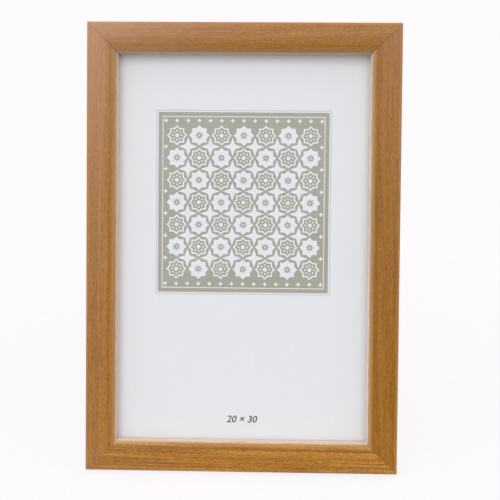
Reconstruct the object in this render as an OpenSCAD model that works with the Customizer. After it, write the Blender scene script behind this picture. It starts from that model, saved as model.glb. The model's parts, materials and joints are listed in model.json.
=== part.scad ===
// Wooden picture frame with an easel back, for one upright picture.
// It leans back on its leg, as it stands on a shelf. X runs to the right seen from the front,
// Y runs backwards and Z runs up. The origin is on the shelf, in the middle of the footprint.
// Most pieces are drawn upright: the frame's back lies on y = 0, its front faces -Y, and its
// bottom edge lies on z = 0. The module lean_back then tips the whole frame into its stance.

/* [Picture] */
// Width of the picture
picture_w = 200; // [170:10:260]
// Height of the picture
picture_h = 300; // [270:10:360]
// Thickness of the printed sheet
print_t = 0.3; // [0.2:0.1:0.6]
// Thickness of the glass
glass_t = 2; // [1.5:0.5:3]
// Thickness of the backing board
board_t = 3; // [2.5:0.5:4]
// Width of the picture's edge that the lip covers
cover = 7.5; // [5:0.5:9]

/* [Moulding] */
// Width of the moulding, from its outer side to the sight edge
moulding_w = 22.5; // [19:0.5:28]
// Depth of the moulding, from its back to the top of its crown
moulding_d = 18; // [13.5:0.5:24]
// Distance from the outer side to the highest line of the crown
crown_peak = 13; // [10:0.5:15]
// Fall of the crown from its highest line to the outer side
crown_drop = 2.2; // [1.2:0.2:3]
// Width of the round that turns down to the sight edge
lip_round_w = 3.5; // [2:0.25:4.5]
// Angle at which that round leaves the crown
lip_break = 20; // [5:5:40]
// Radius of the round along the outer side
outer_round_r = 1.8; // [1:0.2:3]
// Radius of the arris along the outer back edge
arris_r = 0.8; // [0.4:0.2:1.6]

/* [Easel leg] */
// Angle by which the frame leans back
lean = 12; // [9:1:16]
// Height of the hinge pin above the frame's bottom edge
hinge_z = 205; // [180:5:230]
// Thickness of the leg
leg_t = 3; // [2.5:0.5:4]
// Width of the leg below the hinge
leg_top_w = 44; // [40:2:50]
// Width of the leg at its foot
leg_foot_w = 62; // [56:2:70]

/* [Hinge] */
// Width of the hinge
hinge_w = 36; // [32:1:40]
// Thickness of the hinge's leaves
leaf_t = 0.8; // [0.6:0.1:1]
// Length of the leaf that is riveted to the board
board_leaf_len = 24; // [20:1:30]
// Length of the leaf that is riveted to the leg
leg_leaf_len = 26; // [22:1:34]
// Width of the heel that stops the leg
heel_w = 8; // [6:0.5:10]

/* [Turn buttons] */
// Thickness of a turn button
button_t = 0.8; // [0.6:0.1:1.2]
// Distance from a turn button's screw to the centre of its tip
button_len = 14; // [11:0.5:16]
// Radius of a turn button round its screw
button_root_r = 4.5; // [4:0.25:5.5]
// Radius of a turn button's tip
button_tip_r = 3; // [2:0.25:3.5]
// Radius of the screw's shank
screw_r = 1.5; // [1.25:0.25:1.75]
// Length of the screw in the wood
screw_len = 10; // [8:0.5:11]

/* [Hangers] */
// Radius of the ring's wire
wire_r = 0.8; // [0.6:0.1:1]
// Length of the ring's straight bar, along its centre line
ring_w = 18; // [16:0.5:20]
// Height of the ring, from its bar to the peak of its centre lines
ring_h = 17; // [16:0.5:19]
// Thickness of the strap's sheet
strap_t = 0.6; // [0.5:0.1:0.8]
// Width of the strap
strap_w = 8; // [7:0.5:9]
// Distance from the board's edge to the ring's bar
hanger_inset = 20; // [19:0.5:26]

/* [Hidden] */

$fn = 96;
// Overrun of a cutting body past the face that it cuts
cut = 1;

// Clearances
pin_play = 0.05;        // round a pin, a shank or a bar in its hole
sheet_play = 1;         // between the glass and the rebate's walls
board_play = 0.5;       // between the board and the rebate's walls
rest_gap = 0.1;         // under the glass, the print and the board in the rebate
board_recess = 0.2;     // between the board's back and the moulding's back
glue_line = 0.08;       // in each mitre
nail_play = 0.03;       // round a nail in the wood
leg_gap = 0.4;          // between the folded leg and the board
turn_gap = 0.05;        // over and under a turn button
knuckle_gap = 0.2;      // between neighbouring knuckles
stop_gap = 0.04;        // between the hinge's heel and its seat
foot_rise = 1;          // of the folded leg's foot above the frame's bottom edge
ring_play = 0.1;        // of the ring's bar in its strap

// Sizes that follow from the picture and the moulding
opening_w = picture_w - 2 * cover;
opening_h = picture_h - 2 * cover;
outer_w = opening_w + 2 * moulding_w;
outer_h = opening_h + 2 * moulding_w;
rebate_w = cover + sheet_play;
rebate_d = glass_t + print_t + board_t + board_recess;
back_w = moulding_w - rebate_w;
board_w = picture_w + 2 * (sheet_play - board_play);
board_h = picture_h + 2 * (sheet_play - board_play);
board_z = back_w + rest_gap;
board_back_y = -board_recess;
board_front_y = board_back_y - board_t;
print_front_y = board_front_y - print_t;
mitre_inset = glue_line / sqrt(2);

// The crown is one arc. The outer round touches it and the outer side, and the lip's round
// leaves it at lip_break and meets the sight edge upright. Both are drawn in [u, v], where u runs
// in from the outer side and v runs forward from the back.
crown_r = (pow(crown_peak, 2) + pow(crown_drop, 2)) / (2 * crown_drop);
crown_v = moulding_d - crown_r;
function crown_height(u) = crown_v + sqrt(pow(crown_r, 2) - pow(u - crown_peak, 2));
outer_v = crown_v + sqrt(pow(crown_r - outer_round_r, 2) - pow(crown_peak - outer_round_r, 2));
outer_tilt = asin((crown_peak - outer_round_r) / (crown_r - outer_round_r));
outer_touch = [
    crown_peak - crown_r * sin(outer_tilt),
    crown_v + crown_r * cos(outer_tilt)
];
lip_r = lip_round_w / (1 - sin(lip_break));
lip_u = moulding_w - lip_r;
lip_top = [moulding_w - lip_round_w, crown_height(moulding_w - lip_round_w)];
lip_v = lip_top[1] - lip_r * cos(lip_break);

// Hinge: the knuckle touches the board on one side and carries the leg's leaf on the other
knuckle_r = (leg_gap + leg_t + leaf_t) / 2;
pin_r = knuckle_r - leaf_t - pin_play;
heel_seat = knuckle_r - leaf_t;
knuckle_len = (hinge_w - heel_w) / 4 - knuckle_gap;
hinge_y = board_back_y + knuckle_r;
leg_top_drop = knuckle_r + leg_gap;
leg_reach = hinge_z - foot_rise;
leg_corner_r = leg_foot_w / 16;
leaf_corner_r = hinge_w / 8;

// Stance: the arris touches the shelf, and the leg opens until its foot does
arris_low = arris_r * (sin(lean) + cos(lean) - 1);
hinge_height = hinge_z * cos(lean) - hinge_y * sin(lean) - arris_low;
foot_inner = leg_t - heel_seat;
foot_radius = sqrt(pow(leg_reach, 2) + pow(foot_inner, 2));
leg_tilt = atan2(foot_inner, leg_reach) + acos(hinge_height / foot_radius);
leg_open = lean + leg_tilt;
heel_len = (heel_seat * (1 + cos(leg_open)) - stop_gap) / sin(leg_open);
front_reach = lean < outer_tilt
    ? crown_r + crown_v * cos(lean) - crown_peak * sin(lean)
    : outer_round_r + outer_v * cos(lean) - outer_round_r * sin(lean);
back_reach = hinge_y * cos(lean) + hinge_z * sin(lean)
    + heel_seat * cos(leg_tilt) + leg_reach * sin(leg_tilt);
mid_y = (back_reach - front_reach) / 2;

// Fasteners
nail_t = 0.7;
nail_depth = 8;
nail_sink = 0.2;
nail_apex_shares = [0.2, 0.56];
nail_leg_share = 0.31;
rivet_r = 1.5;
rivet_head_r = 2.7;
rivet_head_h = 0.9;
clinch_r = 2.3;
clinch_h = 0.6;
clinch_sink = 0.1;
clinch_play = 0.2;
screw_head_r = 3;
screw_head_h = 1.3;
screw_tip_h = 2.5;
cross_w = 0.7;
cross_len = 3.4;
cross_depth = 0.8;
hinge_rivet_x = hinge_w / 4;
board_rivet_share = 0.68;
leg_rivet_share = 0.62;
board_rivet_z = board_leaf_len * board_rivet_share;
leg_rivet_z = leg_leaf_len * leg_rivet_share;

// Turn buttons: the pivots lie on the middle of the moulding's back
button_leg_gap = 14;
button_x = leg_foot_w / 2 + button_len + button_tip_r + button_leg_gap;
button_z_shares = [0.25, 0.75];
pivot_in = back_w / 2;
button_hole_r = screw_r + pin_play;
// The straight flanks start this share of the way out, so that they cross both rounds
flank_share = 0.96;

// Hangers
loop_r = wire_r + ring_play;
loop_outer_r = loop_r + strap_t;
ring_bend_r = 3 * wire_r;
// The bends are a hair thicker than the wire, so that its straight lengths can run into them
bend_swell_share = 1.02;
bend_wire_r = wire_r * bend_swell_share;
bend_lap = ring_bend_r / 10;
ring_rest_gap = 0.1;
ring_half_apex = atan2(ring_w / 2, ring_h);
ring_peak = ring_h - ring_bend_r * (1 / sin(ring_half_apex) - 1);
ring_lie = asin((loop_outer_r - wire_r - ring_rest_gap) / ring_peak);
strap_slope_len = 5 * wire_r;
strap_rivet_len = 10 * wire_r;
hanger_top_z = board_z + board_h - hanger_inset;
hanger_side_x = -board_w / 2 + hanger_inset;

pine = "#b27c42";
steel = "#b9bcc0";
brown_board = "#7d5a3c";

module lean_back()
    translate([0, -mid_y, -arris_low]) rotate([-lean, 0, 0]) children();

module leg_opened()
    translate([0, hinge_y, hinge_z]) rotate([leg_open, 0, 0]) translate([0, -hinge_y, -hinge_z]) children();

// Turns a flat outline, drawn in X and Z, into a plate from y_front back to y_back
module plate_xz(y_front, y_back)
    translate([0, y_back, 0]) rotate([90, 0, 0]) linear_extrude(y_back - y_front) children();

// Turns a cylinder or a revolved shape, drawn along +Z, so that it points backwards
module pointing_back() rotate([-90, 0, 0]) children();

// The moulding's section, with the depth along -X and the distance from the outer side along +Y
module moulding_section() {
    difference() {
        intersection() {
            translate([-moulding_d, 0]) square([moulding_d, moulding_w]);
            union() {
                translate([-crown_v, crown_peak]) circle(crown_r);
                translate([-moulding_d / 2, 0]) square([moulding_d / 2, moulding_w]);
            }
        }
        outer_round_waste();
        lip_round_waste();
        arris_waste();
        translate([-rebate_d, back_w]) square([rebate_d + cut, rebate_w + cut]);
    }
}

module outer_round_waste()
    difference() {
        polygon([
            [-outer_v, outer_round_r], [-outer_v, -cut], [-moulding_d - cut, -cut],
            [-moulding_d - cut, outer_touch[0]], [-outer_touch[1], outer_touch[0]]
        ]);
        translate([-outer_v, outer_round_r]) circle(outer_round_r);
    }

module lip_round_waste()
    difference() {
        polygon([
            [-lip_v, lip_u], [-lip_top[1], lip_top[0]], [-moulding_d - cut, lip_top[0]],
            [-moulding_d - cut, moulding_w + cut], [-lip_v, moulding_w + cut]
        ]);
        translate([-lip_v, lip_u]) circle(lip_r);
    }

module arris_waste()
    difference() {
        translate([-arris_r, -cut]) square([arris_r + cut, arris_r + cut]);
        translate([-arris_r, arris_r]) circle(arris_r);
    }

// One mitred bar of the frame along X, its outer side on z = 0 and its back on y = 0
module moulding_bar(length) {
    half = length / 2 - mitre_inset * sqrt(2);
    intersection() {
        rotate([90, 0, 90]) linear_extrude(length, center = true) moulding_section();
        plate_xz(-moulding_d - cut, cut)
            polygon([
                [-half, 0], [half, 0],
                [half - moulding_w, moulding_w], [-half + moulding_w, moulding_w]
            ]);
    }
}

// The four bars, each with its nail slots and its screw holes
module bottom_bar() moulding_bar(outer_w);

module top_bar() translate([0, 0, outer_h]) mirror([0, 0, 1]) moulding_bar(outer_w);

module left_bar()
    translate([-outer_w / 2, 0, outer_h / 2]) rotate([0, 90, 0]) mirror([1, 0, 0]) moulding_bar(outer_h);

module right_bar() mirror([1, 0, 0]) left_bar();

module machined(side) {
    color(pine) lean_back() difference() {
        children();
        nail_shapes(nail_play);
        for (place = button_places(side)) at_button(place) pointing_back()
            translate([0, 0, -screw_len - pin_play]) cylinder(h = screw_len + cut, r = screw_r + pin_play);
    }
}

module top_rail() machined("top") top_bar();
module bottom_rail() machined("bottom") bottom_bar();
module left_stile() machined("left") left_bar();
module right_stile() machined("right") right_bar();

// Puts its child, drawn from an outer corner inwards and upwards, at all four corners
module at_corners()
    for (far = [0, 1], top = [0, 1])
        translate([0, 0, top * outer_h]) mirror([0, 0, top]) mirror([far, 0, 0])
            translate([-outer_w / 2, 0, 0]) children();

// Each nail is a folded strip that grips both bars of its mitre
module nail_shapes(grow) {
    leg_len = back_w * nail_leg_share;
    at_corners() for (share = nail_apex_shares)
        plate_xz(-nail_sink - nail_depth - grow, -nail_sink + (grow > 0 ? nail_sink + cut : 0))
            translate([back_w * share - grow, back_w * share - grow]) {
                square([leg_len + 2 * grow, nail_t + 2 * grow]);
                square([nail_t + 2 * grow, leg_len + 2 * grow]);
            }
}

module corner_v_nails() color(steel) lean_back() nail_shapes(0);

module glass_pane()
    color("#dfe9ea", 0.4) lean_back()
        translate([-picture_w / 2, -rebate_d, board_z]) cube([picture_w, glass_t, picture_h]);

module picture_print()
    color("#e6e5ea") lean_back()
        translate([-picture_w / 2, print_front_y, board_z]) cube([picture_w, print_t, picture_h]);

// Hole for a rivet through a sheet whose back lies on y = 0, with a sink for the clinch in front
module rivet_hole(sheet_t, sunk) {
    pointing_back() translate([0, 0, -sheet_t - cut])
        cylinder(h = sheet_t + 2 * cut, r = rivet_r + pin_play);
    if (sunk)
        pointing_back() translate([0, 0, -sheet_t - cut])
            cylinder(h = cut + clinch_h + clinch_sink, r = clinch_r + clinch_play);
}

// Rivet with its head on y = 0 and its clinch sunk in the front of the sheet behind it
module rivet(grip) {
    pointing_back() {
        dome(rivet_head_r, rivet_head_h);
        translate([0, 0, -grip + clinch_sink]) {
            cylinder(h = grip - clinch_sink + turn_gap, r = rivet_r);
            cylinder(h = clinch_h - clinch_sink, r = clinch_r);
        }
    }
}

// Spherical cap of radius r and height h, on z = 0
module dome(r, h) {
    ball_r = (pow(r, 2) + pow(h, 2)) / (2 * h);
    intersection() {
        translate([0, 0, h - ball_r]) sphere(ball_r);
        cylinder(h = h, r = r);
    }
}

module at_board_hinge_rivets()
    for (side = [-1, 1]) translate([side * hinge_rivet_x, board_back_y, hinge_z + board_rivet_z]) children();

module at_leg_hinge_rivets()
    for (side = [-1, 1]) translate([side * hinge_rivet_x, hinge_y + heel_seat, hinge_z - leg_rivet_z]) children();

module at_hanger_top() translate([0, board_back_y, hanger_top_z]) children();

module at_hanger_side() translate([hanger_side_x, board_back_y, outer_h / 2]) rotate([0, -90, 0]) children();

module at_strap_rivet() translate([0, 0, -strap_rivet_len]) children();

module back_board()
    color(brown_board) lean_back() difference() {
        translate([-board_w / 2, board_front_y, board_z]) cube([board_w, board_t, board_h]);
        at_board_hinge_rivets() rivet_hole(board_t, true);
        at_hanger_top() at_strap_rivet() rivet_hole(board_t, true);
        at_hanger_side() at_strap_rivet() rivet_hole(board_t, true);
    }

// Flat outline with every corner rounded
module rounded(r) offset(r = r, $fn = 32) offset(delta = -r) children();

// Rolled knuckle along X, between x_from and x_to, and the sheet that it is rolled from
module knuckle(x_from, x_to, towards, up) {
    translate([x_from, hinge_y, hinge_z]) rotate([0, 90, 0]) cylinder(h = x_to - x_from, r = knuckle_r);
    translate([
        x_from,
        towards > 0 ? hinge_y + heel_seat : hinge_y - knuckle_r,
        up > 0 ? hinge_z : hinge_z - leg_top_drop - leaf_t
    ]) cube([x_to - x_from, leaf_t, leg_top_drop + leaf_t]);
}

module pin_bore()
    translate([-hinge_w / 2 - cut, hinge_y, hinge_z]) rotate([0, 90, 0])
        cylinder(h = hinge_w + 2 * cut, r = pin_r + pin_play);

inner_knuckle_x = heel_w / 2 + knuckle_gap;
outer_knuckle_x = inner_knuckle_x + knuckle_len + knuckle_gap;

module board_hinge_leaf()
    color(steel) lean_back() difference() {
        union() {
            plate_xz(board_back_y, board_back_y + leaf_t) rounded(leaf_corner_r) polygon([
                [-hinge_w / 2, hinge_z + leg_top_drop], [hinge_w / 2, hinge_z + leg_top_drop],
                [hinge_w / 2 - leaf_corner_r, hinge_z + board_leaf_len],
                [-hinge_w / 2 + leaf_corner_r, hinge_z + board_leaf_len]
            ]);
            for (side = [0, 1]) mirror([side, 0, 0])
                knuckle(inner_knuckle_x, inner_knuckle_x + knuckle_len, -1, 1);
            translate([-hinge_w / 4, board_back_y, hinge_z + leg_top_drop])
                cube([hinge_w / 2, leaf_t, leaf_corner_r]);
        }
        pin_bore();
        at_board_hinge_rivets() translate([0, leaf_t, 0]) rivet_hole(leaf_t, false);
    }

module hinge_pin()
    color(steel) lean_back()
        translate([-hinge_w / 2, hinge_y, hinge_z]) rotate([0, 90, 0]) cylinder(h = hinge_w, r = pin_r);

module board_hinge_rivets()
    color(steel) lean_back() at_board_hinge_rivets() translate([0, leaf_t, 0]) rivet(board_t + leaf_t);

module leg_outline()
    rounded(leg_corner_r) polygon([
        [-leg_top_w / 2, hinge_z - leg_top_drop], [leg_top_w / 2, hinge_z - leg_top_drop],
        [leg_foot_w / 2, hinge_z - leg_reach], [-leg_foot_w / 2, hinge_z - leg_reach]
    ]);

module easel_leg()
    color(brown_board) lean_back() leg_opened() difference() {
        plate_xz(hinge_y + heel_seat - leg_t, hinge_y + heel_seat) leg_outline();
        at_leg_hinge_rivets() rivet_hole(leg_t, true);
    }

// The leg's leaf carries the outer knuckles, and its tongue runs past the pin as a heel. When
// the leg is open, the heel's tip sits on the board's leaf and stops the leg.
module leg_hinge_leaf()
    color(steel) lean_back() leg_opened() difference() {
        union() {
            plate_xz(hinge_y + heel_seat, hinge_y + knuckle_r) rounded(leaf_corner_r) polygon([
                [-hinge_w / 2, hinge_z - leg_top_drop], [hinge_w / 2, hinge_z - leg_top_drop],
                [hinge_w / 2 - leaf_corner_r, hinge_z - leg_leaf_len],
                [-hinge_w / 2 + leaf_corner_r, hinge_z - leg_leaf_len]
            ]);
            for (side = [0, 1]) mirror([side, 0, 0])
                knuckle(outer_knuckle_x, hinge_w / 2, 1, -1);
            translate([-heel_w / 2, hinge_y + heel_seat, hinge_z - leg_leaf_len / 2])
                cube([heel_w, leaf_t, leg_leaf_len / 2 + heel_len]);
            translate([-hinge_w / 2, hinge_y + heel_seat, hinge_z - leg_top_drop - leaf_corner_r])
                cube([hinge_w, leaf_t, leaf_corner_r]);
        }
        pin_bore();
        at_leg_hinge_rivets() translate([0, leaf_t, 0]) rivet_hole(leaf_t, false);
    }

module leg_hinge_rivets()
    color(steel) lean_back() leg_opened() at_leg_hinge_rivets() translate([0, leaf_t, 0]) rivet(leg_t + leaf_t);

// Where the turn buttons are: x, z and the angle from +X to the tip
function button_places(side) =
    side == "top" ? [for (s = [-1, 1]) [s * button_x, outer_h - pivot_in, 90]] :
    side == "bottom" ? [for (s = [-1, 1]) [s * button_x, pivot_in, -90]] :
    side == "left" ? [for (share = button_z_shares) [pivot_in - outer_w / 2, outer_h * share, 0]] :
    [for (share = button_z_shares) [outer_w / 2 - pivot_in, outer_h * share, 180]];

module at_button(place) translate([place[0], 0, place[1]]) rotate([0, place[2], 0]) children();

module turn_button(place)
    color(steel) lean_back() at_button(place) translate([0, turn_gap, 0]) pointing_back() difference() {
        linear_extrude(button_t) {
            circle(button_root_r);
            translate([button_len, 0]) circle(button_tip_r);
            polygon([
                [0, -button_root_r * flank_share], [button_len, -button_tip_r * flank_share],
                [button_len, button_tip_r * flank_share], [0, button_root_r * flank_share]
            ]);
        }
        translate([0, 0, -cut]) cylinder(h = button_t + 2 * cut, r = button_hole_r);
    }

module turn_button_top_left() turn_button(button_places("top")[0]);
module turn_button_top_right() turn_button(button_places("top")[1]);
module turn_button_bottom_left() turn_button(button_places("bottom")[0]);
module turn_button_bottom_right() turn_button(button_places("bottom")[1]);
module turn_button_left_lower() turn_button(button_places("left")[0]);
module turn_button_left_upper() turn_button(button_places("left")[1]);
module turn_button_right_lower() turn_button(button_places("right")[0]);
module turn_button_right_upper() turn_button(button_places("right")[1]);

module screw() {
    seat = button_t + 2 * turn_gap;
    pointing_back() difference() {
        union() {
            translate([0, 0, seat]) dome(screw_head_r, screw_head_h);
            translate([0, 0, screw_tip_h - screw_len])
                cylinder(h = screw_len - screw_tip_h + seat + screw_head_h / 2, r = screw_r);
            translate([0, 0, -screw_len]) cylinder(h = screw_tip_h, r1 = screw_r / 4, r2 = screw_r);
        }
        for (turn = [0, 90])
            rotate(turn) translate([-cross_len / 2, -cross_w / 2, seat + screw_head_h - cross_depth])
                cube([cross_len, cross_w, cross_depth + cut]);
    }
}

module turn_button_screws()
    color(steel) lean_back()
        for (side = ["top", "bottom", "left", "right"], place = button_places(side)) at_button(place) screw();

// Strap folded round the ring's bar, drawn on y = 0 with the bar on z = 0 and the sheet below it
module hanger_strap() {
    rotate([90, 0, 90]) translate([0, 0, -strap_w / 2]) difference() {
        linear_extrude(strap_w) {
            translate([loop_outer_r, 0]) circle(loop_outer_r);
            translate([0, -strap_slope_len]) square([strap_t, strap_slope_len]);
            polygon([
                [2 * loop_outer_r, 0], [2 * loop_outer_r - strap_t, 0],
                [strap_t, -strap_slope_len], [2 * strap_t, -strap_slope_len]
            ]);
        }
        translate([loop_outer_r, 0, -cut]) cylinder(h = strap_w + 2 * cut, r = loop_r);
    }
    difference() {
        plate_xz(0, 2 * strap_t) {
            translate([-strap_w / 2, -strap_rivet_len])
                square([strap_w, strap_rivet_len - strap_slope_len + strap_t / 2]);
            translate([0, -strap_rivet_len]) circle(strap_w / 2);
        }
        at_strap_rivet() translate([0, 2 * strap_t, 0]) rivet_hole(2 * strap_t, false);
    }
}

module hanger_strap_top() color(steel) lean_back() at_hanger_top() hanger_strap();
module hanger_strap_side() color(steel) lean_back() at_hanger_side() hanger_strap();

module hanger_rivets()
    color(steel) lean_back() {
        at_hanger_top() at_strap_rivet() translate([0, 2 * strap_t, 0]) rivet(board_t + 2 * strap_t);
        at_hanger_side() at_strap_rivet() translate([0, 2 * strap_t, 0]) rivet(board_t + 2 * strap_t);
    }

// Triangular wire ring, drawn in X and Z with its bar on the X axis and its peak up
module hanger_ring() {
    corners = [[-ring_w / 2, 0], [ring_w / 2, 0], [0, ring_h]];
    for (i = [0 : 2]) {
        here = corners[i];
        next = corners[(i + 1) % 3];
        after = corners[(i + 2) % 3];
        run = heading(here, next);
        turn = turn_between(run, heading(next, after));
        before = turn_between(heading(after, here), run);
        start_cut = ring_bend_r * tan(before / 2);
        end_cut = ring_bend_r * tan(turn / 2);
        length = norm(next - here) - start_cut - end_cut;
        plane_frame(here, run) {
            translate([start_cut - bend_lap, 0, 0]) rotate([0, 90, 0])
                cylinder(h = length + 2 * bend_lap, r = wire_r);
            translate([start_cut + length, ring_bend_r, 0]) rotate(-90)
                rotate_extrude(angle = turn) translate([ring_bend_r, 0]) circle(bend_wire_r);
        }
    }
}

function heading(a, b) = atan2(b[1] - a[1], b[0] - a[0]);
function turn_between(a, b) = (b - a + 720) % 360;

// Frame with its origin at a point of the ring's plane and its X axis at an angle in that plane
module plane_frame(at, angle) rotate([90, 0, 0]) translate([at[0], at[1], 0]) rotate(angle) children();

// Each ring lies back, its peak a hair off the board
module ring_at_rest() translate([0, loop_outer_r, 0]) rotate([ring_lie, 0, 0]) hanger_ring();

module hanger_ring_top() color(steel) lean_back() at_hanger_top() ring_at_rest();
module hanger_ring_side() color(steel) lean_back() at_hanger_side() ring_at_rest();

top_rail();
bottom_rail();
left_stile();
right_stile();
corner_v_nails();
glass_pane();
picture_print();
back_board();
board_hinge_leaf();
hinge_pin();
board_hinge_rivets();
easel_leg();
leg_hinge_leaf();
leg_hinge_rivets();
turn_button_screws();
turn_button_top_left();
turn_button_top_right();
turn_button_bottom_left();
turn_button_bottom_right();
turn_button_left_upper();
turn_button_left_lower();
turn_button_right_upper();
turn_button_right_lower();
hanger_strap_top();
hanger_strap_side();
hanger_rivets();
hanger_ring_top();
hanger_ring_side();
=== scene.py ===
# %% [markdown]
# # A wooden picture frame on its easel leg
# The frame is a 20 x 30 cm one: a crowned wooden moulding with mitred corners, a glass pane, a printed
# sheet, a fibreboard back held by turn buttons, and a leg on a steel hinge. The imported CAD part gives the
# places and sizes. This lesson dresses it: the wood and its lacquer, the glass, the print and the metal.

# %% Load the CAD part
import json
import math

import bmesh
import bpy
from mathutils import Matrix, Vector

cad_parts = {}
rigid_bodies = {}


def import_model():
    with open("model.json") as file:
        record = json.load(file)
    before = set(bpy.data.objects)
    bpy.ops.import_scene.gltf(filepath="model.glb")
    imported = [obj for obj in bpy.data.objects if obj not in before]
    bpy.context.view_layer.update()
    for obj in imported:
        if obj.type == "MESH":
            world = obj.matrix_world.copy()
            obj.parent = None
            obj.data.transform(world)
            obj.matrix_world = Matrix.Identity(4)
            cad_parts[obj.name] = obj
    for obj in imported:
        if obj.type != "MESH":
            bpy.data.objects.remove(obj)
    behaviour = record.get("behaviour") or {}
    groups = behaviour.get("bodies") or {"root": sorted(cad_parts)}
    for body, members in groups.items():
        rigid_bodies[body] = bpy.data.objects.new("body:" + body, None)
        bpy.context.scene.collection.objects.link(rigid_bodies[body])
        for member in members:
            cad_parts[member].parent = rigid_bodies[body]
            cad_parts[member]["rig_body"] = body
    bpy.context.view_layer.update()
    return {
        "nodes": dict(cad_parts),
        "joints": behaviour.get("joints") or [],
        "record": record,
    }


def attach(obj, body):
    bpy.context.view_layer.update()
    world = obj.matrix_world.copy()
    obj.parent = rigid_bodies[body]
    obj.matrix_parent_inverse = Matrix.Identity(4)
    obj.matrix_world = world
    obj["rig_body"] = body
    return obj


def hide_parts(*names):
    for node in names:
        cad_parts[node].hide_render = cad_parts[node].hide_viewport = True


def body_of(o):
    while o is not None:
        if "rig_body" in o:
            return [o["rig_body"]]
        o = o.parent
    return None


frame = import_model()
record = frame["record"]

# %% [markdown]
# ## The frame's own axes
# The frame leans back on its leg, but a frame is easier to draw upright. The record knows its stance: a turn
# button's screw points straight back, and the underside faces straight down. From these two directions and
# places comes one matrix that tips upright millimetres into the scene.

# %% Work out the stance
MM = 0.001


def record_item(items, name):
    return next(item for item in items if item["name"] == name)


button_joint = record_item(frame["joints"], "turn_button_top_left_turn")
underside = record_item(record["mounts"], "underside")
backwards = Vector(button_joint["axis"]).normalized()
upwards = -Vector(underside["axis"]).normalized()
low_point = Vector(underside["pos_m"])
origin = low_point + backwards * (Vector(button_joint["pos_m"]) - low_point).dot(backwards)
origin.x = 0
STANCE = Matrix.Translation(origin) @ Matrix((Vector((1, 0, 0)), backwards, upwards)).transposed().to_4x4()
FROM_MM = STANCE @ Matrix.Scale(MM, 4)
print("lean:", round(math.degrees(math.asin(upwards.y)), 2), "degrees")

# %% [markdown]
# ## Sizes of the moulding
# These are the CAD part's own sizes, in millimetres, in the frame's upright axes: x to the right, y backwards
# and z up, with the bottom edge on z = 0 and the back on y = 0.

# %% Set the sizes
PICTURE_W, PICTURE_H = 200, 300
COVER = 7.5
MOULDING_W, MOULDING_D = 22.5, 18
OUTER_W = PICTURE_W - 2 * COVER + 2 * MOULDING_W
OUTER_H = PICTURE_H - 2 * COVER + 2 * MOULDING_W
REBATE_W, REBATE_D = 8.5, 5.5
BACK_W = MOULDING_W - REBATE_W
CENTRE = Vector((0, 0, OUTER_H / 2))
print("outside:", OUTER_W, "x", OUTER_H, "mm")

# %% [markdown]
# ## Camera
# The photograph was taken from straight in front, a little above and to the right of the middle. The four
# outer corners of the frame give the distance and the three small angles.

# %% Place the camera
LENS_MM = 79.23
EYE = Vector((28.88, -820.2, 194.99))
LOOK_DOWN, TURN_LEFT, ROLL = 2.192, 1.660, -0.600


def turn(degrees, axis):
    return Matrix.Rotation(math.radians(degrees), 4, axis)


camera = bpy.data.objects.new("camera", bpy.data.cameras.new("camera"))
camera.data.lens = LENS_MM
camera.data.clip_start = 0.01
facing = turn(-LOOK_DOWN, "X") @ turn(TURN_LEFT, "Z") @ turn(ROLL, "Y") @ turn(90, "X")
camera.matrix_world = STANCE @ Matrix.Translation(EYE * MM) @ facing
bpy.context.collection.objects.link(camera)
bpy.context.scene.camera = camera
print("camera height:", round(camera.matrix_world.translation.z, 3), "m")

# %% [markdown]
# ## Colours and nodes
# Colours are read off the photograph as sRGB hex values, but shaders work in linear light, so one function
# turns them. Another adds a node with its settings and links. The rest are short names for the nodes that
# come up again and again, in shaders and in geometry alike.

# %% Helpers for colours and materials


def linear(hex_colour):
    """The linear colour of an sRGB hex value."""
    shares = [int(hex_colour[i : i + 2], 16) / 255 for i in (1, 3, 5)]
    return [s / 12.92 if s <= 0.04045 else ((s + 0.055) / 1.055) ** 2.4 for s in shares] + [1.0]


def add(tree, kind, inputs=None, **settings):
    """Adds a node. inputs maps a socket's name or number to a value or to the socket that feeds it."""
    made = tree.nodes.new(kind)
    for name, value in settings.items():
        setattr(made, name, value)
    for key, value in (inputs or {}).items():
        if isinstance(value, bpy.types.NodeSocket):
            tree.links.new(value, made.inputs[key])
        else:
            made.inputs[key].default_value = value
    return made


def empty_material(name):
    material = bpy.data.materials.new(name)
    material.use_nodes = True
    material.node_tree.nodes.clear()
    return material


def shade(material, shader):
    add(material.node_tree, "ShaderNodeOutputMaterial", {"Surface": shader.outputs[0]})
    return material


# %% Helpers for numbers and vectors


def maths(tree, kind, *values):
    return add(tree, "ShaderNodeMath", dict(enumerate(values)), operation=kind).outputs[0]


def vector_maths(tree, kind, *values):
    made = add(tree, "ShaderNodeVectorMath", dict(enumerate(values)), operation=kind)
    return made.outputs["Value" if kind == "LENGTH" else "Vector"]


def axes_of(tree, vector):
    return add(tree, "ShaderNodeSeparateXYZ", {0: vector}).outputs


def vector_of(tree, **axes):
    """A vector from the axes that are given, with 0 for the others."""
    return add(tree, "ShaderNodeCombineXYZ", axes).outputs[0]


def spread(tree, value, low, high, to_low=0.0, to_high=1.0, curve="LINEAR"):
    """Stretches the values from low to high over to_low to to_high, and holds what lies beyond."""
    return add(tree, "ShaderNodeMapRange", {
        "Value": value, "From Min": low, "From Max": high, "To Min": to_low, "To Max": to_high,
    }, interpolation_type=curve).outputs["Result"]


def mix(tree, share, first, second, label=""):
    """Mixes two colours: a share of 0 gives the first and 1 the second."""
    return add(tree, "ShaderNodeMix", {"Factor": share, 6: first, 7: second},
               data_type="RGBA", label=label).outputs[2]


def bump(tree, height, strength, depth_mm):
    return add(tree, "ShaderNodeBump", {
        "Height": height, "Strength": strength, "Distance": depth_mm * MM,
    }).outputs[0]


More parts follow.
